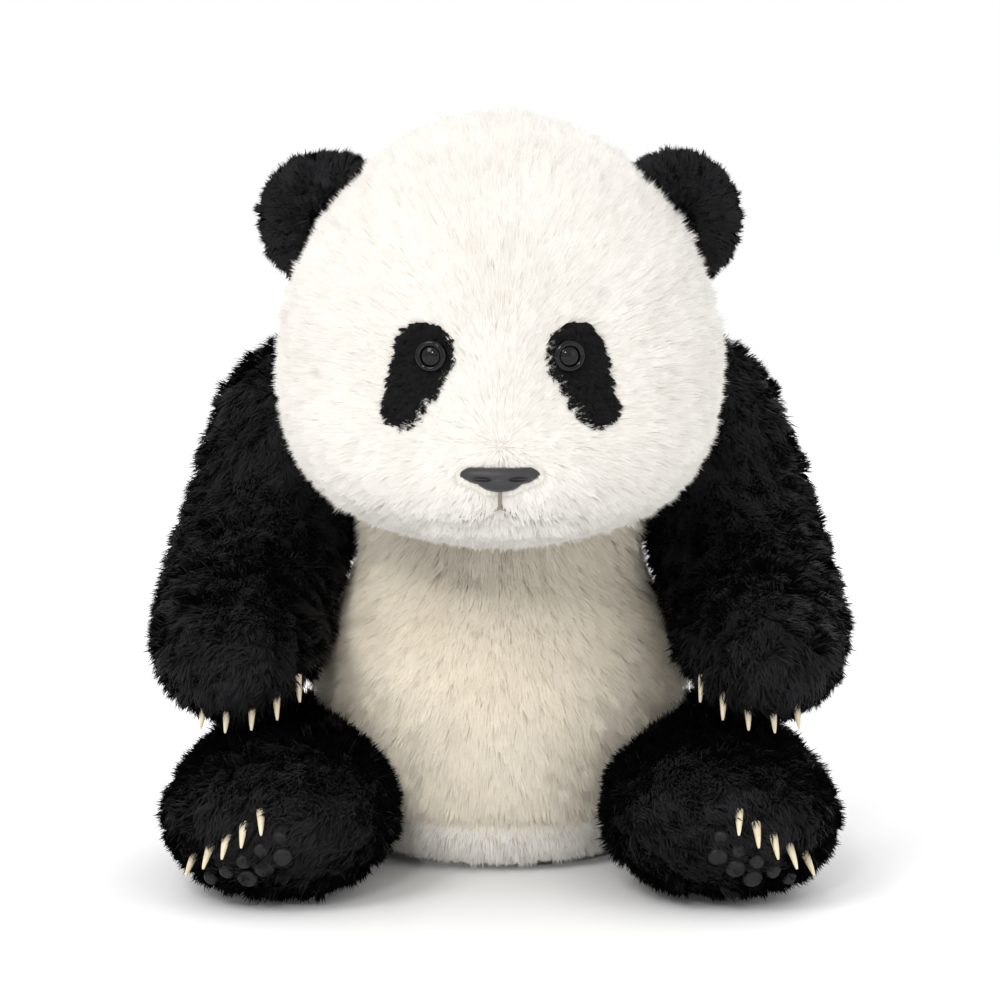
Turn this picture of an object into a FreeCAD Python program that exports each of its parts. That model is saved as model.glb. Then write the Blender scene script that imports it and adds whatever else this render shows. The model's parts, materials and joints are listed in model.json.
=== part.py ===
"""Sitting plush panda with disc joints at the neck, shoulders and hips.

Millimetres, +Z up. The panda faces -Y, so its own left is +X. The origin is on the seat plane, in the middle
plane of the figure. Every soft body is a pile-fabric cover, a closed shell, around its own stuffing. A
cover's outer face is the packed middle of the pile: loose hair tips stand a few millimetres outside it.
"""
import FreeCAD, Part

import math
import os

V = FreeCAD.Vector

# ---------------------------------------------------------------- driving dimensions
COVER = 4.0            # pile fabric: backing and packed pile together
EASE = 0.2             # between a cover and the stuffing inside it
PARTING = 0.6          # half the gap between two bodies at a joint

TORSO_Y = 20.0         # how far the torso's axis stands behind the origin
TORSO_LEVELS = (       # height, half width, front, back
    (0, 44, -20, 60), (6, 58, -36, 76), (20, 70, -50, 88), (45, 80, -58, 95), (75, 91, -62, 97),
    (105, 85, -58, 93), (135, 69, -47, 84), (165, 67, -37, 76), (190, 66, -25, 68), (207, 56, -11, 60),
    (219, 38, 1, 48), (225, 14, 13, 32),
)
YOKE_Z = 165.0         # seam between the pale body and the black shoulders
PELLET_R = 34.0
PELLET_THICK = 15.0    # half thickness of the pellet bag
SEAT_Z = 26.0          # seam between the body and the round seat panel

HEAD_LEVELS = (        # height, half width, front, back
    (162, 10, -78, -56), (165, 34, -110, -32), (174, 61, -134, -14), (188, 80, -149, 1), (207, 92, -152, 12),
    (228, 97, -147, 17), (251, 97, -144, 19), (276, 91, -139, 17), (300, 80, -129, 10), (321, 63, -115, -3),
    (337, 42, -98, -20), (346, 20, -80, -40), (349, 6, -68, -54),
)

EAR_OUT = 78.0         # ear centre from the middle plane
EAR_CENTRE_Y = -56.0
EAR_CENTRE_Z = 303.0
EAR_RADIUS = 28.0
EAR_THICK = 9.5        # half thickness
EAR_TURN = 14.0        # degrees that an ear's face turns outward

EYE_X = 29.5
EYE_Z = 248.0
EYE_R = 6.8            # rim of a 13.5 mm safety eye
PATCH_LOBE_R = 10.0
PATCH_TAIL_R = 6.0
PATCH_TAIL = V(10.5, 0, -22)      # from the eye to the patch's lower end

NOSE_Z = 198.0
NOSE_WINGS = V(17, 7, 5.0)      # half sizes of the nose's wide upper part
NOSE_LIP = V(10, 7, 5.0)        # and of the lower part
NOSE_TOP = 4.0         # flat top above the nose's middle
NOSTRIL = V(5.0, 2.6, 1.3)
NOSE_PROUD = 4.0       # nose centre in front of the cover, level with the pile

NECK_DISC_R = 20.0     # doll-joint disc and washer in the neck
LIMB_DISC_R = 10.5     # and in each shoulder and hip
DISC_T = 2.5
WASHER_T = 2.0
STEM_R = 4.0
STEM_RUN = 0.06        # radial running clearance of the stem in the washer
LOCK_R = 8.0
LOCK_T = 3.0
FABRIC_HOLE = 0.5      # radial room for the stem in the fabric

NECK_POINT = V(0, -15, 190)
NECK_TILT = 38.0       # degrees that the neck axis leans forward
SHOULDER_POINT = V(63.2, 27.3, 184)
SHOULDER_SWEEP = 30.0  # degrees that the shoulder axis points back
SHOULDER_FLAT_R = 44.0
HIP_POINT = V(64, 18, 36)
HIP_FLAT_R = 52.0

ARM_SPINE = (
    V(88, 46, 243), V(95, 45, 214), V(107, 33, 166), V(118, -8, 126), V(120, -58, 109), V(120, -106, 102),
)
ARM_THICK = (37.0, 32.0)     # half sizes fore and aft, at the shoulder and the paw
ARM_WIDE = (42.0, 39.0)      # half sizes across
LEG_SPINE = (V(98, 64, 36), V(98, 20, 36), V(99, -40, 36), V(99, -92, 36.5), V(98, -134, 37))
LEG_WIDE = (37.0, 58.0)
LEG_HIGH = (36.5, 37.5)

CLAW_R = 1.6
CLAW_LENGTH = 11.5
CLAW_SUNK = 3.0        # root of a claw inside the cover
CLAW_PITCH = 9.0       # between the claws of a paw
PAW = V(111, -70, 103)
FOOT = V(120, -60, 35)            # behind the middle toe
TOE_PITCH = 7.8        # between toes, across
TOE_DROP = 5.5         # and down, towards the outside of the foot
PAD_SHIFT = V(-8, 0, -9)          # from a claw to its toe pad
SOLE_SHIFT = V(-17, 0, -12)       # from the middle claw to the sole pad
TOE_PAD_R = 3.6
SOLE_PAD_R = 4.6
PAD_THICK = 2.6        # toe pad, half buried in the pile

SIDES = (("left", 1), ("right", -1))


# ---------------------------------------------------------------- shape helpers
def unit(v):
    return V(v).normalize()


def cushion(radius, thick):
    """A round cushion about Z with well rounded edges; thick is its half thickness."""
    disc = Part.makeCylinder(radius, 2 * thick, V(0, 0, -thick))
    rims = [edge for edge in disc.Edges if isinstance(edge.Curve, Part.Circle)]
    return disc.makeFillet(thick * 0.8, rims)


def ellipsoid(centre, size):
    matrix = FreeCAD.Matrix()
    matrix.scale(size.x, size.y, size.z)
    return Part.makeSphere(1.0).transformGeometry(matrix).translated(centre)


def stacked(levels, inset):
    """A closed body lofted through level ellipses, each given by its height, half width, front and back, and
    shrunk by inset on every side."""
    widest = max(w for z, w, front, back in levels)
    deepest = max(back - front for z, w, front, back in levels) / 2
    low, high = levels[0][0], levels[-1][0]
    middle = (low + high) / 2
    wires = []
    for z, w, front, back in levels:
        centre = V(0, (front + back) / 2, middle + (z - middle) * (1 - 2 * inset / (high - low)))
        across = w * (1 - inset / widest)
        deep = (back - front) / 2 * (1 - inset / deepest)
        ends = (centre + V(across, 0, 0), centre + V(0, deep, 0))
        if deep > across:
            ends = (centre + V(0, deep, 0), centre - V(across, 0, 0))
        wires.append(Part.Wire([Part.Ellipse(ends[0], ends[1], centre).toShape()]))
    return Part.makeLoft(wires, True, False)


def limb(spine, high, wide, lift, inset):
    """A closed, rounded limb lofted along a spline. high and wide are (first end, last end) half sizes, and
    wide is measured along lift."""
    path = Part.BSplineCurve()
    path.interpolate(Points=list(spine))
    first, last = path.FirstParameter, path.LastParameter
    trim = inset / path.length()
    wires = []
    for s in (0.004, 0.03, 0.1, 0.22, 0.38, 0.55, 0.7, 0.83, 0.92, 0.975, 0.996):
        at = first + (trim + s * (1 - 2 * trim)) * (last - first)
        swell = math.sqrt(1 - abs(2 * s - 1) ** 4)
        a = (high[0] + (high[1] - high[0]) * s - inset) * swell
        b = (wide[0] + (wide[1] - wide[0]) * s - inset) * swell
        tangent = unit(path.tangent(at)[0])
        side = unit(tangent.cross(lift))
        up = unit(side.cross(tangent))
        centre = path.value(at)
        ends = (centre + up * b, centre + side * a) if b >= a else (centre + side * a, centre + up * b)
        wires.append(Part.Wire([Part.Ellipse(ends[0], ends[1], centre).toShape()]))
    return Part.makeLoft(wires, True, False)


def beyond(point, normal, offset, size=600.0):
    """The block of space further than offset past the plane through point."""
    block = Part.makeBox(2 * size, 2 * size, size, V(-size, -size, 0))
    turn = FreeCAD.Rotation(V(0, 0, 1), unit(normal))
    block.Placement = FreeCAD.Placement(point + unit(normal) * offset, turn)
    return block


def rod(point, direction, start, end, radius):
    """A cylinder about the line through point, from start to end along it."""
    return Part.makeCylinder(radius, end - start, point + unit(direction) * start, direction)


def above(z):
    return beyond(V(0, 0, z), V(0, 0, 1), 0)


def below(z):
    return beyond(V(0, 0, z), V(0, 0, -1), 0)


def surface_point(solid, start, direction):
    """Where a ray that starts inside solid leaves it."""
    inside = Part.makeLine(start, start + unit(direction) * 400).common(solid)
    return max((v.Point for v in inside.Vertexes), key=lambda p: p.distanceToPoint(start))


def mirrored(shape):
    return shape.mirror(V(0, 0, 0), V(1, 0, 0))


def save(name, *shapes):
    shape = shapes[0] if len(shapes) == 1 else Part.makeCompound(list(shapes))
    shape.exportStep("parts/" + name + ".step")
    print(name, len(shape.Solids), round(shape.Volume), shape.isValid())


# ---------------------------------------------------------------- joints
NECK_AXIS = V(0, -math.sin(math.radians(NECK_TILT)), math.cos(math.radians(NECK_TILT)))
SHOULDER_AXIS = V(math.cos(math.radians(SHOULDER_SWEEP)), math.sin(math.radians(SHOULDER_SWEEP)), 0)
HIP_AXIS = V(1, 0, 0)
DISC_NEAR = PARTING + COVER + EASE        # near face of the disc, and of the washer on the other side
WASHER_FAR = DISC_NEAR + WASHER_T
LOCK_NEAR = WASHER_FAR + EASE


def clasp(point, axis, near, far, radius):
    """Room in a cover for a disc or a washer that lies between near and far along the axis."""
    return rod(point, axis, near - EASE / 2, far + EASE / 2, radius + EASE)


def joint_disc(point, axis, radius):
    """Disc inside the moving body, with the stem that goes through both fabrics into the torso."""
    disc = rod(point, axis, DISC_NEAR, DISC_NEAR + DISC_T, radius)
    stem = rod(point, axis, -LOCK_NEAR - LOCK_T - 2, DISC_NEAR + DISC_T, STEM_R)
    return disc.fuse(stem).removeSplitter()


def joint_washer(point, axis, radius):
    washer = rod(point, axis, -WASHER_FAR, -DISC_NEAR, radius)
    return washer.cut(rod(point, axis, -WASHER_FAR - 1, 0, STEM_R + STEM_RUN))


def joint_lock(point, axis):
    ring = rod(point, axis, -LOCK_NEAR - LOCK_T, -LOCK_NEAR, LOCK_R)
    return ring.cut(rod(point, axis, -LOCK_NEAR - LOCK_T - 1, 0, STEM_R))


def stem_hole(point, axis):
    return rod(point, axis, -DISC_NEAR, DISC_NEAR, STEM_R + FABRIC_HOLE)


def torso_recess(point, axis, radius):
    """Room in the torso's stuffing for the washer, the lock ring and the stem's end."""
    seat = rod(point, axis, -WASHER_FAR - EASE, DISC_NEAR, radius + EASE)
    well = rod(point, axis, -LOCK_NEAR - LOCK_T - 3, 0, LOCK_R + 1)
    return seat.fuse(well)


def limb_recess(point, axis, radius):
    """Room in a limb's stuffing for the disc."""
    return rod(point, axis, 0, DISC_NEAR + DISC_T + EASE, radius + EASE)


# ---------------------------------------------------------------- limb forms
def arm_form(inset):
    form = limb(ARM_SPINE, ARM_THICK, ARM_WIDE, V(1, 0, 0), inset)
    return form.cut(rod(SHOULDER_POINT, SHOULDER_AXIS, -60, PARTING + inset, SHOULDER_FLAT_R + inset))


def leg_form(inset):
    form = limb(LEG_SPINE, LEG_WIDE, LEG_HIGH, V(0, 0, 1), inset).cut(below(inset))
    return form.cut(rod(HIP_POINT, HIP_AXIS, -60, PARTING + inset, HIP_FLAT_R + inset))


# ---------------------------------------------------------------- torso
def torso_form(inset):
    form = stacked(TORSO_LEVELS, inset).cut(beyond(NECK_POINT, NECK_AXIS, -PARTING - inset))
    for sign in (1, -1):
        hip = V(sign * HIP_POINT.x, HIP_POINT.y, HIP_POINT.z)
        shoulder = V(sign * SHOULDER_POINT.x, SHOULDER_POINT.y, SHOULDER_POINT.z)
        sweep = V(sign * SHOULDER_AXIS.x, SHOULDER_AXIS.y, 0)
        form = form.cut(rod(hip, HIP_AXIS * sign, -PARTING - inset, 60, HIP_FLAT_R + inset))
        form = form.cut(rod(shoulder, sweep, -PARTING - inset, 60, SHOULDER_FLAT_R + inset))
    for limb_form in (arm_form, leg_form):
        room = limb_form(-PARTING - inset)
        form = form.cut([room, mirrored(room)])
    return form


def joints():
    """(name, point, axis, disc radius) of the five joints, each axis pointing out of the torso."""
    found = [("neck", NECK_POINT, NECK_AXIS, NECK_DISC_R)]
    for side, sign in SIDES:
        found.append((side + "_shoulder", V(sign * SHOULDER_POINT.x, SHOULDER_POINT.y, SHOULDER_POINT.z),
                      V(sign * SHOULDER_AXIS.x, SHOULDER_AXIS.y, 0), LIMB_DISC_R))
        found.append((side + "_hip", V(sign * HIP_POINT.x, HIP_POINT.y, HIP_POINT.z), V(sign, 0, 0),
                      LIMB_DISC_R))
    return found


def pellet_bag():
    """Flat pillow of plastic pellets that weights the seat."""
    return cushion(PELLET_R, PELLET_THICK).translated(V(0, TORSO_Y, 26))


def build_torso():
    shell = torso_form(0).cut(torso_form(COVER))
    filling = torso_form(COVER + EASE)
    for name, point, axis, radius in joints():
        shell = shell.cut(stem_hole(point, axis)).cut(clasp(point, axis, -WASHER_FAR, -DISC_NEAR, radius))
        filling = filling.cut(torso_recess(point, axis, radius))
    save("shoulder_yoke", shell.cut(below(YOKE_Z)))
    save("body_cover", shell.cut(above(YOKE_Z)).cut(below(SEAT_Z)))
    save("seat_panel", shell.cut(above(SEAT_Z)))
    save("torso_stuffing", filling.cut(pellet_bag()))
    save("pellet_bag", pellet_bag())
    for name, point, axis, radius in joints():
        save(name + "_disc", joint_disc(point, axis, radius))
        save(name + "_washer", joint_washer(point, axis, radius))
        save(name + "_lock_ring", joint_lock(point, axis))


# ---------------------------------------------------------------- head
def head_form(inset):
    return stacked(HEAD_LEVELS, inset).cut(beyond(NECK_POINT, -NECK_AXIS, -PARTING - inset))


def snap_post(point, direction, radius, length):
    """Post behind an eye or a nose, and the washer that locks it inside the cover."""
    post = rod(point, direction, -length, 0, radius)
    washer = rod(point, direction, -length + 2, -length + 3.5, radius + 5)
    return post, washer.cut(post)


def eye(point, direction):
    """Moulded eye: a raised rim around a lower dome, with its post."""
    plate = rod(point, direction, 0, 1.6, EYE_R)
    rim = Part.makeTorus(EYE_R - 1.3, 1.3, point + direction * 1.6, direction)
    dome = Part.makeSphere(7.0, point - direction * 3.6, direction).common(rod(point, direction, 0, 6, 4.6))
    post, washer = snap_post(point, direction, 2.2, 12)
    return plate.fuse([rim, dome, post]), washer


def patch_prism(sign):
    """Teardrop prism through the front of the head: a round lobe at the eye, narrowing down and out."""
    top = V(sign * (EYE_X + 1.5), 0, EYE_Z + 1)
    low = V(sign * (EYE_X + PATCH_TAIL.x), 0, EYE_Z + PATCH_TAIL.z)
    run = (low - top)
    drop = PATCH_LOBE_R - PATCH_TAIL_R
    lean = math.asin(drop / run.Length)
    along = unit(run)
    across = along.cross(V(0, 1, 0))
    corners = []
    for side in (1, -1):
        out = along * math.sin(lean) + across * (side * math.cos(lean))
        corners.append((top + out * PATCH_LOBE_R, low + out * PATCH_TAIL_R))
    upper = Part.Arc(corners[0][0], top - along * PATCH_LOBE_R, corners[1][0])
    lower = Part.Arc(corners[1][1], low + along * PATCH_TAIL_R, corners[0][1])
    outline = Part.Wire([
        upper.toShape(),
        Part.makeLine(corners[1][0], corners[1][1]),
        lower.toShape(),
        Part.makeLine(corners[0][1], corners[0][0]),
    ])
    return Part.Face(outline).extrude(V(0, -160, 0)).translated(V(0, -60, 0))


def nose(point):
    """Flat-topped button, wide above and narrow below, with two nostril slots and a post."""
    wings = ellipsoid(point + V(0, 0, 0.8), NOSE_WINGS)
    lip = ellipsoid(point - V(0, 0, 1.5), NOSE_LIP)
    front = point.y - NOSE_WINGS.y
    slots = [ellipsoid(V(x, front + 0.4, point.z - 0.6), NOSTRIL) for x in (-8.5, 8.5)]
    post, washer = snap_post(point, V(0, -1, 0), 2.6, 16)
    return wings.fuse(lip).cut(above(point.z + NOSE_TOP)).cut(slots).fuse(post), washer


def mouth_thread(form, radius=0.7):
    """Embroidery thread pulled into the muzzle: one short drop under the nose and a curve to each side."""
    def on_face(x, z):
        return surface_point(form, V(x, -70, z), V(0, -1, 0)) + V(0, radius, 0)

    lip = NOSE_Z - 15.0
    runs = [[(0, lip + 7.5), (0, lip + 1.0)]]
    smile = ((2.0, 0.0), (9.5, -3.2), (19.0, -1.5), (26.0, 2.5))
    for sign in (1, -1):
        runs.append([(sign * x, lip + rise) for x, rise in smile])
    threads = []
    for run in runs:
        points = [on_face(x, z) for x, z in run]
        pieces = [rod(a, b - a, 0, (b - a).Length, radius) for a, b in zip(points, points[1:])]
        pieces += [Part.makeSphere(radius, p) for p in points]
        threads.append(pieces[0].fuse(pieces[1:]))
    return threads


def ear(sign, form):
    """Rounded two-sided ear, sewn flat on the side of the head's top."""
    disc = cushion(EAR_RADIUS, EAR_THICK)
    disc.rotate(V(0, 0, 0), V(1, 0, 0), 90)
    disc.rotate(V(0, 0, 0), V(0, 0, 1), sign * EAR_TURN)
    return disc.translated(V(sign * EAR_OUT, EAR_CENTRE_Y, EAR_CENTRE_Z)).cut(form)


def build_head():
    form = head_form(0)
    shell = form.cut(head_form(COVER)).cut(stem_hole(NECK_POINT, NECK_AXIS))
    filling = head_form(COVER + EASE).cut(limb_recess(NECK_POINT, NECK_AXIS, NECK_DISC_R))
    for side, sign in SIDES:
        start = V(sign * EYE_X, -70, EYE_Z)
        facing = unit(V(sign * 0.24, -0.97, 0))
        seat = surface_point(form, start, V(0, -1, 0)) - facing * 0.8
        button, washer = eye(seat, facing)
        prism = patch_prism(sign)
        save(side + "_eye_patch", shell.common(prism).cut(button))
        save(side + "_eye", button)
        save(side + "_eye_washer", washer)
        save(side + "_ear", ear(sign, form))
        shell = shell.cut(prism)
        filling = filling.cut([button, washer])
    seat = surface_point(form, V(0, -70, NOSE_Z), V(0, -1, 0)) - V(0, NOSE_PROUD, 0)
    button, washer = nose(seat)
    threads = mouth_thread(form)
    save("nose", button)
    save("nose_washer", washer)
    save("mouth_thread", *threads)
    save("head_cover", shell.cut([button] + threads))
    save("head_stuffing", filling.cut([button, washer]))


# ---------------------------------------------------------------- claws and pads
def claw(point, outward, droop):
    """Curved horn on a surface point, growing outward and bending towards droop."""
    wires = []
    steps = 6
    for i in range(steps + 1):
        s = i / steps
        reach = CLAW_LENGTH * s
        centre = point + outward * (reach - CLAW_SUNK) + droop * (0.018 * reach ** 2)
        tangent = unit(outward + droop * (0.036 * reach))
        radius = CLAW_R * (1 - s) ** 0.7 + 0.45
        wires.append(Part.Wire([Part.makeCircle(radius, centre, tangent)]))
    return Part.makeLoft(wires, True, False)


def toe_pad(point, outward, radius):
    pad = cushion(radius, PAD_THICK)
    pad.Placement = FreeCAD.Placement(point, FreeCAD.Rotation(V(0, 0, 1), outward))
    return pad


# ---------------------------------------------------------------- arms
def build_arm(side, sign):
    form = arm_form(0)
    seat = clasp(SHOULDER_POINT, SHOULDER_AXIS, DISC_NEAR, DISC_NEAR + DISC_T, LIMB_DISC_R)
    shell = form.cut(arm_form(COVER)).cut([stem_hole(SHOULDER_POINT, SHOULDER_AXIS), seat])
    filling = arm_form(COVER + EASE).cut(limb_recess(SHOULDER_POINT, SHOULDER_AXIS, LIMB_DISC_R))
    claws = []
    for step in (-2, -1, 0, 1, 2):
        aim = unit(V(0.10 * step, -1.0, -0.80 - 0.05 * step))
        root = surface_point(form, PAW + V(CLAW_PITCH * step, 0, 0), aim)
        claws.append(claw(root, unit(V(0.06 * step, -0.5, -0.8)), V(0, 0.4, -0.7)))
    flip = mirrored if sign < 0 else (lambda shape: shape)
    save(side + "_arm_cover", flip(shell.cut(claws)))
    save(side + "_arm_stuffing", flip(filling.cut(claws)))
    save(side + "_arm_claws", *[flip(c) for c in claws])


# ---------------------------------------------------------------- legs
def build_leg(side, sign):
    form = leg_form(0)
    seat = clasp(HIP_POINT, HIP_AXIS, DISC_NEAR, DISC_NEAR + DISC_T, LIMB_DISC_R)
    shell = form.cut(leg_form(COVER)).cut([stem_hole(HIP_POINT, HIP_AXIS), seat])
    filling = leg_form(COVER + EASE).cut(limb_recess(HIP_POINT, HIP_AXIS, LIMB_DISC_R))
    claws = []
    pads = []
    for step in (-2, -1, 0, 1, 2):
        toe = FOOT + V(TOE_PITCH * step, 0, -TOE_DROP * step)
        root = surface_point(form, toe, V(0, -1, 0))
        claws.append(claw(root, unit(V(0.15 + 0.1 * step, -0.75, -0.6)), V(0, 0.3, -0.8)))
        root = surface_point(form, toe + PAD_SHIFT, V(0, -1, 0))
        pads.append(toe_pad(root, unit(V(0.2 + 0.15 * step, -1.0, -0.35)), TOE_PAD_R))
    soles = []
    for step in (-1, 0, 1):
        root = surface_point(form, FOOT + SOLE_SHIFT + V(TOE_PITCH * step, 0, -TOE_DROP * step), V(0, -1, 0))
        soles.append(toe_pad(root, unit(V(0.1 * step, -1.0, -0.5)), SOLE_PAD_R))
    pads = [pad.cut(form) for pad in pads]
    soles = [pad.cut(form).cut(below(0)) for pad in soles]
    flip = mirrored if sign < 0 else (lambda shape: shape)
    save(side + "_leg_cover", flip(shell.cut(claws)))
    save(side + "_leg_stuffing", flip(filling.cut(claws)))
    save(side + "_leg_claws", *[flip(c.cut(pads)) for c in claws])
    save(side + "_toe_pads", *[flip(p) for p in pads])
    save(side + "_sole_pad", *[flip(p) for p in soles])


os.makedirs("parts", exist_ok=True)
build_torso()
build_head()
for arm_side, arm_sign in SIDES:
    build_arm(arm_side, arm_sign)
    build_leg(arm_side, arm_sign)
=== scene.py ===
import json
import math

import bmesh
import bpy
import numpy as np
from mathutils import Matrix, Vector
from mathutils.bvhtree import BVHTree
from mathutils.kdtree import KDTree


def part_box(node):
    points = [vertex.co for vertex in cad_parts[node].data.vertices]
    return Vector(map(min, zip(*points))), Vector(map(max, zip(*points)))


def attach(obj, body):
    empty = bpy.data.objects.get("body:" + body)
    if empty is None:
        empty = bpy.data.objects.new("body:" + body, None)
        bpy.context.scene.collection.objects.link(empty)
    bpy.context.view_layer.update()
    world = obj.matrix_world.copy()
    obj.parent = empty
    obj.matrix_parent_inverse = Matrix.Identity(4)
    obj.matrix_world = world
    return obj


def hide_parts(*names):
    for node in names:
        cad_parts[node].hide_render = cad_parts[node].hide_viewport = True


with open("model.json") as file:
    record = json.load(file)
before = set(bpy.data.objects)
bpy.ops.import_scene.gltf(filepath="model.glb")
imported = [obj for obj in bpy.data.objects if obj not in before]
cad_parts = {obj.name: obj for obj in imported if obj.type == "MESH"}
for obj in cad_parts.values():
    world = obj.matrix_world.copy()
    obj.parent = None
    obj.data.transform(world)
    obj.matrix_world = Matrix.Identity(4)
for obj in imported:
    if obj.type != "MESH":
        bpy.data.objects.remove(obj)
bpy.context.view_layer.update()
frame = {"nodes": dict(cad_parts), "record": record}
MM = 0.001

# ------------------------------------------------------------------ head cover
# The head is knitted fur fabric sewn into a round bag and stuffed hard: a wide dome, full cheeks and a low
# muzzle with a mouth pulled in by thread. The backing is a padded skin, and its pile is cut acrylic fibre
# about 10 mm long that was tumbled, so it stands up in small soft tufts.
HEAD_VOXEL = 3.0 * MM
BACKING = 2.0 * MM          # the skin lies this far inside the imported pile's middle
TABLE_GAP = 0.3 * MM


def linear(hex_colour):
    """sRGB hex to a linear RGBA colour."""
    values = []
    for i in (1, 3, 5):
        c = int(hex_colour[i:i + 2], 16) / 255
        values.append(c / 12.92 if c <= 0.04045 else ((c + 0.055) / 1.055) ** 2.4)
    return (*values, 1.0)


def add_node(tree, kind, settings=None, links=None):
    """A node with its settings (attributes or input values) and links (input name to output socket)."""
    node = tree.nodes.new(kind)
    for key, value in (settings or {}).items():
        if isinstance(key, int) or key in node.inputs:
            node.inputs[key].default_value = value
        else:
            setattr(node, key, value)
    for key, socket in (links or {}).items():
        tree.links.new(socket, node.inputs[key])
    return node


def mesh_arrays(mesh):
    """Points, triangles and point normals of a mesh."""
    mesh.calc_loop_triangles()
    points = np.empty(len(mesh.vertices) * 3)
    mesh.vertices.foreach_get("co", points)
    normals = np.empty(len(mesh.vertices) * 3)
    mesh.vertex_normals.foreach_get("vector", normals)
    corners = np.empty(len(mesh.loop_triangles) * 3, dtype=np.int32)
    mesh.loop_triangles.foreach_get("vertices", corners)
    return points.reshape(-1, 3), corners.reshape(-1, 3), normals.reshape(-1, 3)


def joined(nodes):
    """Points and triangles of several CAD nodes together."""
    points, corners, start = [], [], 0
    for node in nodes:
        p, c, _ = mesh_arrays(frame["nodes"][node].data)
        points.append(p)
        corners.append(c + start)
        start += len(p)
    return np.concatenate(points), np.concatenate(corners)


def tree_of(nodes):
    points, corners = joined(nodes)
    return BVHTree.FromPolygons(points.tolist(), corners.tolist())


def outer_skin(name, nodes, voxel, inset=BACKING, smooth=6):
    """The closed outer skin of a stuffed body: its CAD cover and filling remeshed as one padded form, with
    only the outside kept, evened out and drawn in to the fabric's backing."""
    points, corners = joined(nodes)
    mesh = bpy.data.meshes.new(name)
    mesh.from_pydata(points.tolist(), [], corners.tolist())
    skin = bpy.data.objects.new(name, mesh)
    bpy.context.scene.collection.objects.link(skin)
    remesh = skin.modifiers.new("remesh", "REMESH")
    remesh.mode = "VOXEL"
    remesh.voxel_size = voxel
    evaluated = skin.evaluated_get(bpy.context.evaluated_depsgraph_get())
    whole = bpy.data.meshes.new_from_object(evaluated)
    skin.modifiers.clear()
    form = bmesh.new()
    form.from_mesh(whole)
    form.verts.ensure_lookup_table()
    start = min(form.verts, key=lambda v: v.co.x)
    kept, front = {start}, [start]
    while front:
        here = front.pop()
        for edge in here.link_edges:
            other = edge.other_vert(here)
            if other not in kept:
                kept.add(other)
                front.append(other)
    bmesh.ops.delete(form, geom=[v for v in form.verts if v not in kept], context="VERTS")
    for _ in range(smooth):
        bmesh.ops.smooth_vert(form, verts=form.verts, factor=0.5, use_axis_x=True, use_axis_y=True,
                              use_axis_z=True)
    form.normal_update()
    for vertex in form.verts:
        vertex.co -= vertex.normal * inset
    form.to_mesh(whole)
    form.free()
    whole.shade_smooth()
    skin.data = whole
    return skin


def bump(points, centre, size, height):
    """A soft swelling of the given height around a place on the face, in x and z."""
    dx = (points[:, 0] - centre[0]) / size[0]
    dz = (points[:, 2] - centre[1]) / size[1]
    return height * np.exp(-(dx * dx + dz * dz) / 2)


def shape_skin(skin, height):
    """Moves every point of a skin along its normal by height(points, normals)."""
    points, _, normals = mesh_arrays(skin.data)
    moved = points + normals * height(points, normals)[:, None]
    skin.data.vertices.foreach_set("co", moved.ravel())
    skin.data.update()


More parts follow.
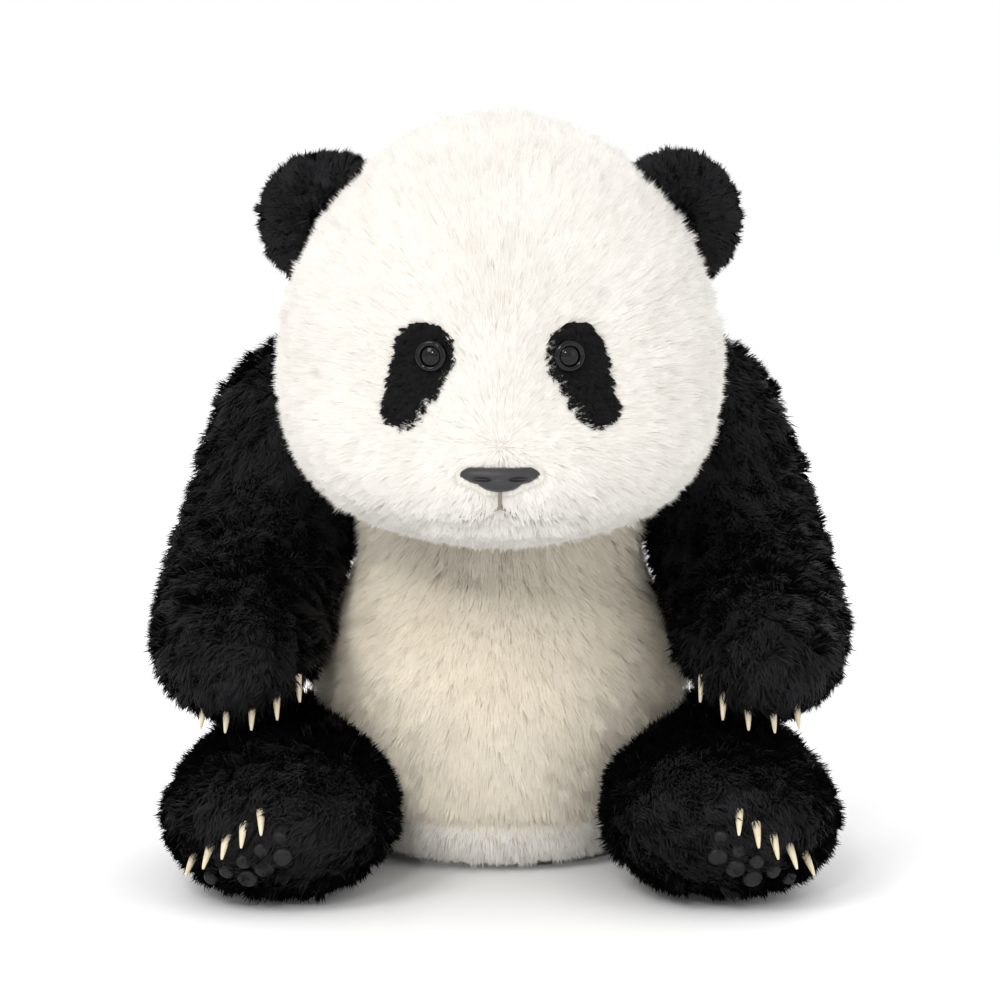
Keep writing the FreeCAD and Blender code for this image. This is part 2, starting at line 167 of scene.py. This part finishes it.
def grow_pile(name, skin, body, material, count, length, width, lie, lean, pull=0.55, tuft=45, ruffle=0.28,
              seed=1, keep=None, fit=None, clear=(), clear_by=2.5 * MM, fine=False):
    """Cut pile on a skin: flat tapered fibres, each laid over along lie by lean (radians) and drawn towards
    the tip of its tuft. keep says which roots hold pile, fit scales their length, and none grow within
    clear_by of the clear nodes. A fine fibre is one straight blade, any other bends in the middle."""
    rng = np.random.default_rng(seed)
    points, corners, normals = mesh_arrays(skin.data)
    a, b, c = (points[corners[:, i]] for i in range(3))
    area = np.linalg.norm(np.cross(b - a, c - a), axis=1)
    if keep is not None:
        area = area * keep((a + b + c) / 3)
    pick = rng.choice(len(corners), count, p=area / area.sum())
    u, v = rng.random((2, count, 1))
    flip = (u + v) > 1
    u, v = np.where(flip, 1 - u, u), np.where(flip, 1 - v, v)
    chosen = corners[pick]
    roots = points[chosen[:, 0]] * (1 - u - v) + points[chosen[:, 1]] * u + points[chosen[:, 2]] * v
    facing = normals[chosen[:, 0]] * (1 - u - v) + normals[chosen[:, 1]] * u + normals[chosen[:, 2]] * v
    facing /= np.linalg.norm(facing, axis=1)[:, None]
    if clear:
        near = tree_of(clear)
        free = np.array([near.find_nearest(Vector(p), clear_by)[0] is None for p in roots])
        roots, facing = roots[free], facing[free]
    count = len(roots)
    flow = lie(roots)
    flow = flow - facing * np.sum(flow * facing, axis=1)[:, None]
    flow /= np.linalg.norm(flow, axis=1)[:, None] + 1e-9
    centres = max(8, count // tuft)
    tree = KDTree(centres)
    for i in range(centres):
        tree.insert(roots[i], i)
    tree.balance()
    own = np.array([tree.find(p)[1] for p in roots])
    swirl = rng.normal(0, ruffle, (centres, 3))[own]
    single = rng.normal(0, ruffle * 0.9, (count, 3))
    direction = facing * math.cos(lean) + flow * math.sin(lean) + swirl + single
    direction /= np.linalg.norm(direction, axis=1)[:, None]
    long = length * (0.78 + 0.44 * rng.random(count)) * (0.86 + 0.28 * rng.random(centres)[own])
    if fit is not None:
        long = long * fit(roots)
    tips = roots + direction * long[:, None]
    tips += (tips[own] - tips) * (pull * rng.random(count)[:, None])
    tips[:, 2] = np.maximum(tips[:, 2], TABLE_GAP)
    middles = (roots + tips) / 2 + facing * (long * 0.10)[:, None]
    across = np.cross(tips - roots, facing + rng.normal(0, 0.12, (count, 3)))
    across /= np.linalg.norm(across, axis=1)[:, None] + 1e-9
    across *= (width / 2) * (0.75 + 0.5 * rng.random(count))[:, None]
    outline = [roots - across, roots + across, tips]
    blades, reach = ((0, 1, 2),), (0.0, 0.0, 1.0)
    if not fine:
        outline[2:2] = [middles - across * 0.85, middles + across * 0.85]
        blades, reach = ((0, 1, 3), (0, 3, 2), (2, 3, 4)), (0.0, 0.0, 0.55, 0.55, 1.0)
    size = len(outline)
    base = np.arange(count)[:, None] * size
    faces = np.concatenate([base + np.array([t]) for t in blades], 1).reshape(-1, 3)
    mesh = bpy.data.meshes.new(name)
    mesh.vertices.add(count * size)
    mesh.vertices.foreach_set("co", np.stack(outline, 1).ravel())
    mesh.loops.add(faces.size)
    mesh.loops.foreach_set("vertex_index", faces.ravel().astype(np.int32))
    mesh.polygons.add(len(faces))
    mesh.polygons.foreach_set("loop_start", np.arange(0, faces.size, 3, dtype=np.int32))
    mesh.update(calc_edges=True)
    mesh.polygons.foreach_set("use_smooth", np.ones(len(faces), dtype=bool))
    lay = facing + swirl * 0.9 + rng.normal(0, 0.08, (count, 3))
    lay /= np.linalg.norm(lay, axis=1)[:, None]
    mesh.normals_split_custom_set_from_vertices(np.repeat(lay, size, axis=0))
    along = np.tile(np.array(reach), count)
    shade = np.repeat(rng.random(centres)[own] * 0.6 + rng.random(count) * 0.4, size)
    for key, values in (("along", along), ("shade", shade)):
        mesh.attributes.new(key, "FLOAT", "POINT").data.foreach_set("value", values.astype(np.float32))
    mesh.materials.append(material)
    pile = bpy.data.objects.new(name, mesh)
    bpy.context.scene.collection.objects.link(pile)
    pile.visible_shadow = not fine
    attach(pile, body)
    return pile


def pile_fibre(name, painted_root_shade, dark, light, patch_mm, rough=0.9):
    """Cut acrylic pile: matte, painted darker towards the backing as painted shade where fibres shade each
    other, with tufts a little lighter or darker and a slow drift in tone over patch_mm."""
    material = bpy.data.materials.new(name)
    material.use_nodes = True
    tree = material.node_tree
    shader = tree.nodes["Principled BSDF"]
    along = add_node(tree, "ShaderNodeAttribute", {"attribute_name": "along"})
    shade = add_node(tree, "ShaderNodeAttribute", {"attribute_name": "shade"})
    place = add_node(tree, "ShaderNodeTexCoord")
    drift = add_node(tree, "ShaderNodeTexNoise", {"Scale": 1 / (patch_mm * MM), "Detail": 3.0},
                     {"Vector": place.outputs["Object"]})
    tone = add_node(tree, "ShaderNodeMath", {"operation": "MULTIPLY_ADD", 1: 0.5},
                    {0: shade.outputs["Fac"], 2: drift.outputs["Fac"]})
    level = add_node(tree, "ShaderNodeMapRange", {"From Min": 0.35, "From Max": 1.1},
                     {"Value": tone.outputs[0]})
    tint = add_node(tree, "ShaderNodeMix", {"data_type": "RGBA", 6: linear(dark), 7: linear(light)},
                    {"Factor": level.outputs["Result"]})
    # Painted shade: from its middle down to the backing, each fibre is painted towards the darker root
    # colour. This stands in for the shade the fibres cast on each other.
    reach = add_node(tree, "ShaderNodeMapRange", {"From Min": 0.0, "From Max": 0.55},
                     {"Value": along.outputs["Fac"]})
    colour = add_node(tree, "ShaderNodeMix", {"data_type": "RGBA", 6: linear(painted_root_shade)},
                      {"Factor": reach.outputs["Result"], 7: tint.outputs[2]})
    tree.links.new(colour.outputs[2], shader.inputs["Base Color"])
    shader.inputs["Roughness"].default_value = rough
    shader.inputs["Specular IOR Level"].default_value = 0.25
    return material


def knit_backing(name, colour, thread_mm=0.9):
    """Knitted backing between the pile's roots: a fine ribbed weave, seen only where the pile parts."""
    material = bpy.data.materials.new(name)
    material.use_nodes = True
    tree = material.node_tree
    shader = tree.nodes["Principled BSDF"]
    place = add_node(tree, "ShaderNodeTexCoord")
    knit = add_node(tree, "ShaderNodeTexWave", {"Scale": 1 / (thread_mm * MM) / 6, "Distortion": 2.0},
                    {"Vector": place.outputs["Object"]})
    fuzz = add_node(tree, "ShaderNodeTexNoise", {"Scale": 900.0, "Detail": 4.0},
                    {"Vector": place.outputs["Object"]})
    height = add_node(tree, "ShaderNodeMath", {"operation": "ADD"},
                      {0: knit.outputs["Fac"], 1: fuzz.outputs["Fac"]})
    relief = add_node(tree, "ShaderNodeBump", {"Strength": 0.5, "Distance": 0.4 * MM},
                      {"Height": height.outputs[0]})
    tree.links.new(relief.outputs["Normal"], shader.inputs["Normal"])
    shader.inputs["Base Color"].default_value = linear(colour)
    shader.inputs["Roughness"].default_value = 0.95
    return material


EYE_LEFT = [(a + b) / 2 for a, b in zip(*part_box("left_eye"))]
NOSE = [(a + b) / 2 for a, b in zip(*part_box("nose"))]
MOUTH_HALF, _, MOUTH_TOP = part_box("mouth_thread")[1]


def mouth_line(x):
    """Height of the mouth's two shallow curves at a distance x from the middle."""
    s = np.clip(np.abs(x) / MOUTH_HALF, 0, 1)
    return MOUTH_TOP - 7 * MM - 5.0 * MM * np.sin(s * math.pi * 0.75) + 2.0 * MM * s


def face_relief(points, normals):
    """Swellings and hollows that the pattern pieces and the mouth thread give the face."""
    front = np.clip(-normals[:, 1] * 1.6, 0, 1)
    x, z = points[:, 0], points[:, 2]
    form = bump(points, (0, NOSE[2] - 4 * MM), (33 * MM, 17 * MM), 6.5 * MM)
    for side in (-1, 1):
        form = form + bump(points, (side * 17 * MM, MOUTH_TOP - 2 * MM), (12 * MM, 9 * MM), 3.5 * MM)
        form = form + bump(points, (side * 70 * MM, NOSE[2] + 8 * MM), (26 * MM, 22 * MM), 4 * MM)
        form = form + bump(points, (side * EYE_LEFT[0], EYE_LEFT[2] - 3 * MM), (15 * MM, 19 * MM), -2.2 * MM)
    drop = np.exp(-(x / (1.6 * MM)) ** 2) * ((z < NOSE[2]) & (z > MOUTH_TOP - 8 * MM))
    ends = np.clip((MOUTH_HALF + 6 * MM - np.abs(x)) / (8 * MM), 0, 1)
    smile = np.exp(-((z - mouth_line(x)) / (1.8 * MM)) ** 2) * ends
    crease = -4.5 * MM * np.maximum(drop, smile)
    return front * (form + crease)


HEAD_NODES = ("head_cover", "head_stuffing", "left_eye_patch", "right_eye_patch", "neck_disc")
head_skin = outer_skin("head_skin", HEAD_NODES, HEAD_VOXEL)
shape_skin(head_skin, face_relief)
head_skin.data.materials.append(knit_backing("knitted_backing_white", "#DEDAD2"))
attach(head_skin, "head")
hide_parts("head_cover")
# The first colour is painted shade at the fibres' roots. It is darker than the fibre's own tones.
white_pile = pile_fibre("acrylic_pile_warm_white", "#CCC7BE", "#E0DCD5", "#EEEBE6", 30)
PATCH_SHAPE = tree_of(("left_eye_patch", "right_eye_patch"))


def on_patch(points, reach=2.7 * MM):
    """1 where a point is within reach of an eye patch, else 0."""
    return np.array([float(PATCH_SHAPE.find_nearest(Vector(p), reach)[0] is not None) for p in points])


def head_lie(roots):
    """Pile runs back and down from the nose over the face, cheeks and dome."""
    away = roots - np.array([0, -0.15, NOSE[2] + 0.012])
    away /= np.linalg.norm(away, axis=1)[:, None] + 1e-9
    return away + np.array([0, 0.25, -0.35])


def near_eyes(roots):
    """Pile is clipped short near the eyes, the nose and the mouth."""
    x, z = np.abs(roots[:, 0]), roots[:, 2]
    out, up = x - EYE_LEFT[0] - 4 * MM, z - EYE_LEFT[2] + 8 * MM
    eye = np.exp(-((out / (24 * MM)) ** 2 + (up / (28 * MM)) ** 2))
    muzzle = np.exp(-((x / (30 * MM)) ** 2 + ((z - NOSE[2] + 6 * MM) / (22 * MM)) ** 2))
    front = roots[:, 1] < -0.09
    return 1 - front * np.minimum(0.62 * eye + 0.66 * muzzle, 0.72)


def mouth_gap(points):
    """1 along the stitched mouth, where the pile is drawn in with the thread, else 0."""
    x, y, z = points.T
    smile = (np.abs(z - mouth_line(x)) < 1.3 * MM) & (np.abs(x) < MOUTH_HALF)
    drop = (np.abs(x) < 1.4 * MM) & (z < NOSE[2]) & (z > MOUTH_TOP - 8 * MM)
    return (smile | drop) & (y < -0.1)


HEAD_PARTS = ("left_eye", "right_eye", "nose")
HEAD_MIDDLE = (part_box("head_cover")[0][1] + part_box("head_cover")[1][1]) / 2
HEAD_SPLIT = HEAD_MIDDLE - 20 * MM
for name, low, high, width in (
    ("head_pile_face", -1.0, HEAD_SPLIT, 0.6 * MM), ("head_pile_crown", HEAD_SPLIT, 1.0, 0.75 * MM),
):
    def white_area(points, low=low, high=high):
        """1 where the head is white pile in this half, 0 at the patches and the mouth."""
        here = (points[:, 1] >= low) & (points[:, 1] < high) & ~mouth_gap(points)
        return here * (1 - on_patch(points))

    half = grow_pile(
        name, head_skin, "head", white_pile, 190000, 9.0 * MM, width, head_lie, 1.05, pull=0.25, tuft=40,
        ruffle=0.10, seed=len(name), fit=near_eyes, clear=HEAD_PARTS, clear_by=1.6 * MM, fine=True,
        keep=white_area,
    )

# ------------------------------------------------------------------ eye patches and ears
# Teardrop patches of black short-pile plush are let into the face around each eye. The ears are two discs of
# black plush sewn together and turned, then sewn flat to the head where its own pile covers the joint.
black_backing = knit_backing("knitted_backing_black", "#08080A")
# The first colour of each black pile is painted shade at the fibres' roots.
black_pile = pile_fibre("acrylic_pile_black", "#020203", "#060607", "#1A1A1D", 18, rough=0.72)
short_black = pile_fibre("short_pile_black", "#020202", "#070708", "#151517", 12, rough=0.8)

head_skin.data.materials.append(black_backing)
centres = np.array([tuple(face.center) for face in head_skin.data.polygons])
head_skin.data.polygons.foreach_set("material_index", on_patch(centres, 2.0 * MM).astype(np.int32))



def patch_lie(roots):
    """Patch pile runs down and outward."""
    still = 0 * roots[:, 0]
    return np.stack([np.sign(roots[:, 0]) * 0.5, still, still - 0.8], 1)


patches = grow_pile(
    "eye_patch_pile", head_skin, "head", short_black, 26000, 4.0 * MM, 0.7 * MM, patch_lie, 0.8, tuft=24,
    ruffle=0.2, seed=21, keep=on_patch, clear=("left_eye", "right_eye"), clear_by=1.0 * MM,
)
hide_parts("left_eye_patch", "right_eye_patch")

for side, sign in (("left", 1), ("right", -1)):
    ear_skin = outer_skin(side + "_ear_skin", (side + "_ear",), 2.0 * MM, inset=1.0 * MM, smooth=2)
    low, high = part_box(side + "_ear")
    ear_middle = np.array([(a + b) / 2 for a, b in zip(low, high)])

    def ear_cup(points, normals, middle=ear_middle):
        """The front of an ear dishes in towards its middle."""
        off = np.hypot(points[:, 0] - middle[0], points[:, 2] - middle[2])
        return -5.0 * MM * np.exp(-(off / (17 * MM)) ** 2) * (normals[:, 1] < -0.3)

    shape_skin(ear_skin, ear_cup)
    ear_skin.data.materials.append(black_backing)
    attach(ear_skin, "head")
    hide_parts(side + "_ear")
    ear_pile = grow_pile(
        side + "_ear_pile", ear_skin, "head", black_pile, 16000, 6.0 * MM, 0.7 * MM,
        lambda r, middle=ear_middle: (r - middle) * np.array([1, 0.3, 1]), 0.8, seed=31 + sign, tuft=30,
    )

# ------------------------------------------------------------------ torso
# The trunk is a cream pile-fabric egg with a black yoke over the shoulders and a round white panel let into
# the seat. It is stuffed firm over a bag of pellets, so it stands on a flat base.
TORSO_NODES = ("body_cover", "shoulder_yoke", "seat_panel", "torso_stuffing", "pellet_bag")
YOKE_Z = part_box("shoulder_yoke")[0][2]
SEAT_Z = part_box("seat_panel")[1][2]
BODY_LOW, BODY_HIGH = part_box("body_cover")
BODY_Y = (BODY_LOW[1] + BODY_HIGH[1]) / 2
torso_skin = outer_skin("torso_skin", TORSO_NODES, 3.0 * MM)
torso_skin.data.materials.append(knit_backing("knitted_backing_cream", "#E2D9C8"))
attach(torso_skin, "torso")
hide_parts("body_cover")
# The first colour of each pile is painted shade at the fibres' roots.
cream_pile = pile_fibre("acrylic_pile_cream", "#CFC5B1", "#E6DDCB", "#F3ECDD", 35)
seat_fibre = pile_fibre("short_pile_white", "#CFCABF", "#E2DED6", "#EFECE6", 20)


def seam_pinch(points, normals):
    """Panels sink a little where they are sewn together, and the seat panel swells out below its seam."""
    z = points[:, 2]
    seams = -3.5 * MM * (np.exp(-((z - SEAT_Z) / (3 * MM)) ** 2) + np.exp(-((z - YOKE_Z) / (3 * MM)) ** 2))
    front = np.clip(-normals[:, 1] * 1.5, 0, 1)
    return seams + 6.0 * MM * front * np.exp(-((z - SEAT_Z * 0.5) / (SEAT_Z * 0.33)) ** 2)


shape_skin(torso_skin, seam_pinch)
torso_skin.data.materials.append(black_backing)
levels = np.array([face.center.z for face in torso_skin.data.polygons])
torso_skin.data.polygons.foreach_set("material_index", (levels > YOKE_Z).astype(np.int32))


def trunk_lie(roots):
    """Pile runs down and outward over the belly, sides and back."""
    out = roots - np.array([0, BODY_Y, 0])
    return np.stack([out[:, 0] * 8, out[:, 1] * 2, -1.0 + 0 * out[:, 0]], 1)


def flat_seat(roots):
    """Pile under the seat is crushed to almost nothing."""
    return np.clip(roots[:, 2] / (9 * MM), 0.12, 1)


LIMB_SHAPE = tree_of([side + limb for side in ("left", "right") for limb in ("_arm_cover", "_leg_cover")])


def pressed(roots):
    """Pile is also crushed where an arm or a leg lies on the trunk."""
    gap = np.array([LIMB_SHAPE.find_nearest(Vector(p))[3] for p in roots])
    return flat_seat(roots) * np.clip((gap - 1 * MM) / (9 * MM), 0.15, 1)


for name, fibre, slot, nodes, count, length, width, band in (
    ("belly_pile", cream_pile, "cream_plush", (), 190000, 9.0, 0.65, (SEAT_Z, YOKE_Z)),
    ("yoke_pile", black_pile, "black_plush", ("shoulder_yoke",), 30000, 8.0, 0.8, (YOKE_Z, 1.0)),
    ("seat_pile", seat_fibre, "white_velboa", ("seat_panel",), 40000, 6.0, 0.65, (0.5 * MM, SEAT_Z)),
):
    cover = grow_pile(
        name, torso_skin, "torso", fibre, count, length * MM, width * MM, trunk_lie, 0.95, ruffle=0.11,
        tuft=40, pull=0.25, seed=len(name), fit=pressed, fine=fibre is not black_pile,
        keep=lambda p, low=band[0], high=band[1]: (p[:, 2] >= low) & (p[:, 2] < high),
    )
    if nodes:
        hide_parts(*nodes)

# ------------------------------------------------------------------ arms and legs
# Four black pile-fabric limbs, each stuffed and hung on its own joint. The pile runs down each limb to the
# paw, and it is clipped round the claws and the pads so that they show.
for side, sign in (("left", 1), ("right", -1)):
    for limb in ("arm", "leg"):
        stem = side + "_" + limb
        skin = outer_skin(stem + "_skin", (stem + "_cover", stem + "_stuffing"), 3.0 * MM)
        skin.data.materials.append(black_backing)
        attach(skin, stem)
        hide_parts(stem + "_cover")
        if limb == "arm":
            run = np.array([sign * 0.25, -0.45, -0.9])
            trims, gap = (stem + "_claws",), 0.6 * MM
        else:
            run = np.array([sign * 0.3, -0.8, -0.3])
            trims, gap = (stem + "_claws", side + "_toe_pads", side + "_sole_pad"), 1.4 * MM
        pile = grow_pile(
            stem + "_pile", skin, stem, black_pile, 56000, 8.0 * MM, 0.8 * MM,
            lambda roots, run=run: np.tile(run, (len(roots), 1)), 0.85, seed=50 + sign + len(limb),
            clear=trims, clear_by=gap, fit=flat_seat, keep=lambda p: p[:, 2] > 0.5 * MM,
        )

# ------------------------------------------------------------------ eyes, nose, mouth, claws and pads
# Moulded trim: polished black eyes with a raised rim, a matte dark grey nose, ivory claws and soft dark pads,
# and a mouth drawn in with twisted thread.


def moulded(name, colour, rough, grain_mm, depth_mm, specular=0.4, mottle=None):
    """Injection-moulded plastic or vinyl with a fine grain in its gloss and a faint mottle in its colour."""
    material = bpy.data.materials.new(name)
    material.use_nodes = True
    tree = material.node_tree
    shader = tree.nodes["Principled BSDF"]
    place = add_node(tree, "ShaderNodeTexCoord")
    grain = add_node(tree, "ShaderNodeTexNoise", {"Scale": 1 / (grain_mm * MM), "Detail": 4.0},
                     {"Vector": place.outputs["Object"]})
    relief = add_node(tree, "ShaderNodeBump", {"Strength": 0.6, "Distance": depth_mm * MM},
                      {"Height": grain.outputs["Fac"]})
    tree.links.new(relief.outputs["Normal"], shader.inputs["Normal"])
    gloss = add_node(tree, "ShaderNodeMapRange", {"To Min": rough * 0.85, "To Max": rough * 1.2},
                     {"Value": grain.outputs["Fac"]})
    tree.links.new(gloss.outputs["Result"], shader.inputs["Roughness"])
    shader.inputs["Base Color"].default_value = linear(colour)
    if mottle:
        tint = add_node(tree, "ShaderNodeMix", {"data_type": "RGBA", 6: linear(colour), 7: linear(mottle)},
                        {"Factor": grain.outputs["Fac"]})
        tree.links.new(tint.outputs[2], shader.inputs["Base Color"])
    shader.inputs["Specular IOR Level"].default_value = specular
    return material


eye_black = moulded("polished_abs_black", "#020202", 0.06, 2.0, 0.002, specular=0.3)
nose_grey = moulded("matte_vinyl_dark_grey", "#2E2E30", 0.42, 0.5, 0.08)
claw_ivory = moulded("satin_vinyl_ivory", "#E9DEC6", 0.42, 3.0, 0.05, mottle="#CDBB97")
pad_grey = moulded("soft_pvc_dark_grey", "#141415", 0.5, 0.6, 0.08, specular=0.3)
joint_white = moulded("moulded_polypropylene_white", "#E6E5E0", 0.45, 0.8, 0.03)
poly_fibre = knit_backing("polyester_fibre_white", "#EFEFEC", 1.5)
cotton = knit_backing("cotton_calico_natural", "#DDD5C2", 0.8)
TRIM = {
    "black_eye_plastic": eye_black, "nose_plastic": nose_grey, "claw_resin": claw_ivory,
    "pad_rubber": pad_grey, "white_pom": joint_white, "lock_plastic": joint_white,
    "fibre_fill": poly_fibre, "pellet_cotton": cotton,
}
for part in frame["record"]["subparts"]:
    finish = TRIM.get(part["material_slot"])
    if finish is not None:
        shown = frame["nodes"][part["node"]].data
        shown.materials.clear()
        shown.materials.append(finish)

thread_grey = pile_fibre("twisted_polyester_thread", "#8E867A", "#8E867A", "#A89F92", 5)
head_shape = BVHTree.FromObject(head_skin, bpy.context.evaluated_depsgraph_get())
mouth = bpy.data.curves.new("mouth_stitching", "CURVE")
mouth.dimensions = "3D"
mouth.bevel_depth = 0.7 * MM
mouth.bevel_resolution = 3
RUNS = [[(0.0, NOSE[2] - 5 * MM), (0.0, MOUTH_TOP - 3 * MM), (0.0, MOUTH_TOP - 7 * MM)]]
for sign in (1, -1):
    spread = np.linspace(0.0, MOUTH_HALF, 9)
    RUNS.append([(sign * x, float(mouth_line(x))) for x in spread])
for run in RUNS:
    line = mouth.splines.new("POLY")
    line.points.add(len(run) - 1)
    for point, (x, z) in zip(line.points, run):
        hit = head_shape.ray_cast(Vector((x, -0.4, z)), Vector((0, 1, 0)))[0]
        point.co = (x, hit.y - 0.6 * MM, z, 1)
mouth_object = bpy.data.objects.new("mouth_stitching", mouth)
bpy.context.scene.collection.objects.link(mouth_object)
mouth.materials.append(thread_grey)
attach(mouth_object, "head")
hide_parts("mouth_thread")

# ------------------------------------------------------------------ floor, light and camera
# A plain pale table under soft studio light from the upper left, seen from the front and a little above.
floor_mesh = bpy.data.meshes.new("floor")
REACH = 6.0
corners = [(-REACH, -REACH, 0), (REACH, -REACH, 0), (REACH, REACH, 0), (-REACH, REACH, 0)]
floor_mesh.from_pydata(corners, [], [(0, 1, 2, 3)])
floor = bpy.data.objects.new("floor", floor_mesh)
bpy.context.scene.collection.objects.link(floor)
paper = bpy.data.materials.new("matte_paper_white")
paper.use_nodes = True
paper.node_tree.nodes["Principled BSDF"].inputs["Base Color"].default_value = linear("#FFFFFF")
paper.node_tree.nodes["Principled BSDF"].inputs["Roughness"].default_value = 1.0
floor_mesh.materials.append(paper)

world = bpy.data.worlds.new("studio")
world.use_nodes = True
world.node_tree.nodes["Background"].inputs["Color"].default_value = (1.0, 1.0, 1.0, 1.0)
world.node_tree.nodes["Background"].inputs["Strength"].default_value = 1.0
bpy.context.scene.world = world


def soft_box(name, place, target, size, power):
    lamp = bpy.data.lights.new(name, "AREA")
    lamp.shape = "SQUARE"
    lamp.size = size
    lamp.energy = power
    holder = bpy.data.objects.new(name, lamp)
    holder.location = place
    holder.rotation_euler = (Vector(target) - Vector(place)).to_track_quat("-Z", "Y").to_euler()
    bpy.context.scene.collection.objects.link(holder)


AIM = (0.0, -0.05, 0.18)
soft_box("key", (-0.9, -1.3, 1.5), AIM, 0.8, 12)
soft_box("fill", (1.4, -1.2, 0.7), AIM, 1.2, 3)
soft_box("back", (0.9, 1.6, 1.2), AIM, 1.2, 8)
soft_box("eye_light", (-0.25, -1.7, 1.0), AIM, 0.2, 5)

ELEVATION = math.radians(7.0)
DISTANCE = 1.5
FIELD = 0.4515              # width of the view at the aim point
camera = bpy.data.cameras.new("camera")
camera.sensor_width = 36.0
camera.lens = 36.0 * DISTANCE / FIELD
viewer = bpy.data.objects.new("camera", camera)
VIEW_AIM = Vector((0.0, -0.066, 0.177))
viewer.location = VIEW_AIM + Vector((0, -math.cos(ELEVATION), math.sin(ELEVATION))) * DISTANCE
viewer.rotation_euler = (VIEW_AIM - viewer.location).to_track_quat("-Z", "Y").to_euler()
bpy.context.scene.collection.objects.link(viewer)
bpy.context.scene.camera = viewer
bpy.context.scene.view_settings.view_transform = "Standard"
